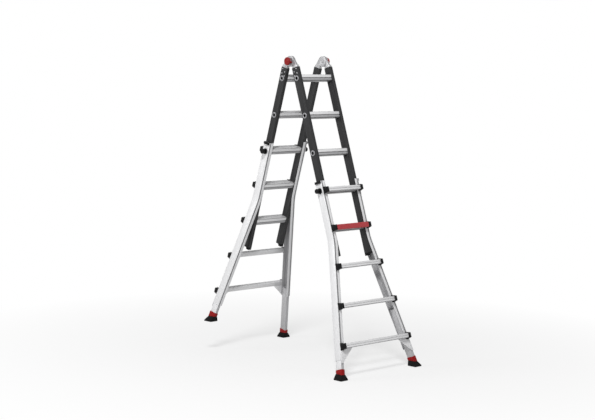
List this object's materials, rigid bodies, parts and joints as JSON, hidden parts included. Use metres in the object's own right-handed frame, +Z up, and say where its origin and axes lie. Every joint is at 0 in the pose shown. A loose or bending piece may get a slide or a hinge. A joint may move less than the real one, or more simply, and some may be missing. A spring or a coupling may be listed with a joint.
{
  "type": "multi position ladder",
  "caption": "Folding telescopic ladder with two locking hinges, flared outer stiles, ribbed rungs and levelling feet, set up as an A-frame on uneven ground.",
  "frame": {"origin": "middle of the footprint, on the floor that the soles of three feet stand on", "axes": "+Z up, +X from the left ladder to the right ladder across the stance, +Y along the rungs, away from the raised foot"},
  "size_m": [1.497, 0.9002, 2.2288],
  "materials": {
    "stile_dark": "charcoal powder coated",
    "silver": "satin extruded",
    "plastic_black": "moulded",
    "plastic_red": "moulded",
    "collar_red": "moulded",
    "rubber": "moulded",
    "steel": "zinc plated"
  },
  "bodies": {
    "left_inner": {"left_inner_stile_near": "stile_dark", "left_inner_stile_far": "stile_dark", "left_stile_end_caps": "plastic_black", "left_inner_rung_1": "silver", "left_inner_rung_2": "silver", "left_inner_rung_3": "silver", "left_inner_rung_4": "silver", "left_inner_rung_5": "silver", "left_hinge_leaves": "silver", "hinge_pins": "steel"},
    "left_outer": {"left_outer_stile_near": "silver", "left_outer_stile_far": "silver", "left_outer_rung_1": "silver", "left_outer_rung_2": "silver", "left_outer_rung_3": "silver", "left_outer_rung_4": "silver", "left_outer_rung_5": "silver", "left_rung_caps": "plastic_black", "left_gussets": "silver", "left_lock_housings": "plastic_black", "left_leg_near": "silver", "left_foot_collar_near": "collar_red", "left_foot_pad_near": "rubber"},
    "left_lock_knob_near": {"left_lock_knob_near": "plastic_black"},
    "left_far_leg": {"left_leg_far": "silver", "left_foot_collar_far": "collar_red", "left_foot_pad_far": "rubber"},
    "left_lock_knob_far": {"left_lock_knob_far": "plastic_black"},
    "left_lever": {"left_leveller_lever": "plastic_black"},
    "right_inner": {"right_inner_stile_near": "stile_dark", "right_inner_stile_far": "stile_dark", "right_stile_end_caps": "plastic_black", "right_inner_rung_1": "silver", "right_inner_rung_2": "silver", "right_inner_rung_3": "silver", "right_inner_rung_4": "silver", "right_inner_rung_5": "silver", "right_hinge_leaves": "silver"},
    "right_outer": {"right_outer_stile_near": "silver", "right_outer_stile_far": "silver", "right_outer_rung_1": "silver", "right_outer_rung_2": "silver", "right_outer_rung_3": "silver", "right_outer_rung_4": "silver", "right_outer_rung_5": "silver", "right_rung_caps": "plastic_black", "right_gussets": "silver", "right_lock_housings": "plastic_black", "right_leg_near": "silver", "right_foot_collar_near": "collar_red", "right_foot_pad_near": "rubber", "tread_cover": "plastic_red"},
    "right_lock_knob_near": {"right_lock_knob_near": "plastic_black"},
    "right_far_leg": {"right_leg_far": "silver", "right_foot_collar_far": "collar_red", "right_foot_pad_far": "rubber"},
    "right_lock_knob_far": {"right_lock_knob_far": "plastic_black"},
    "right_lever": {"right_leveller_lever": "plastic_black"},
    "hinge_knob_near": {"hinge_knob_near": "plastic_red"},
    "hinge_knob_far": {"hinge_knob_far": "plastic_red"}
  },
  "joints": [
    {"name": "fold", "type": "hinge", "parent": "left_inner", "child": "right_inner", "pos_m": [-0.07253, -0.02563, 2.18967], "axis": [0, -1, 0], "range_deg": [-34.15, 145.85]},
    {"name": "left_telescope", "type": "slide", "parent": "left_inner", "child": "left_outer", "axis": [-0.2647, 0, -0.9643], "range_m": [-0.56, 0.56]},
    {"name": "left_leveller", "type": "slide", "parent": "left_outer", "child": "left_far_leg", "axis": [-0.2586, 0.213, -0.9422], "range_m": [-0.2407, 0.0093]},
    {"name": "left_lock_near", "type": "slide", "parent": "left_outer", "child": "left_lock_knob_near", "axis": [0, -1, 0], "range_m": [-0.012, 0.003]},
    {"name": "left_lock_far", "type": "slide", "parent": "left_outer", "child": "left_lock_knob_far", "axis": [0, 1, 0], "range_m": [-0.012, 0.003]},
    {"name": "left_lever_pull", "type": "hinge", "parent": "left_outer", "child": "left_lever", "pos_m": [-0.59984, 0.34343, 0.40661], "axis": [0.9643, 0, -0.2647], "range_deg": [0, 15], "stiffness_Nm_per_rad": 0.6},
    {"name": "right_telescope", "type": "slide", "parent": "right_inner", "child": "right_outer", "axis": [0.3223, 0, -0.9466], "range_m": [-0.84, 0.28]},
    {"name": "right_leveller", "type": "slide", "parent": "right_outer", "child": "right_far_leg", "axis": [0.3149, 0.213, -0.9249], "range_m": [0, 0.25]},
    {"name": "right_lock_near", "type": "slide", "parent": "right_outer", "child": "right_lock_knob_near", "axis": [0, -1, 0], "range_m": [-0.012, 0.003]},
    {"name": "right_lock_far", "type": "slide", "parent": "right_outer", "child": "right_lock_knob_far", "axis": [0, 1, 0], "range_m": [-0.012, 0.003]},
    {"name": "right_lever_pull", "type": "hinge", "parent": "right_outer", "child": "right_lever", "pos_m": [0.65136, 0.34343, 0.17651], "axis": [0.9466, 0, 0.3223], "range_deg": [0, 15], "stiffness_Nm_per_rad": 0.6},
    {"name": "hinge_lock_near", "type": "slide", "parent": "left_inner", "child": "hinge_knob_near", "axis": [0, -1, 0], "range_m": [-0.0085, 0.003]},
    {"name": "hinge_lock_far", "type": "slide", "parent": "left_inner", "child": "hinge_knob_far", "axis": [0, 1, 0], "range_m": [-0.0085, 0.003]}
  ]
}
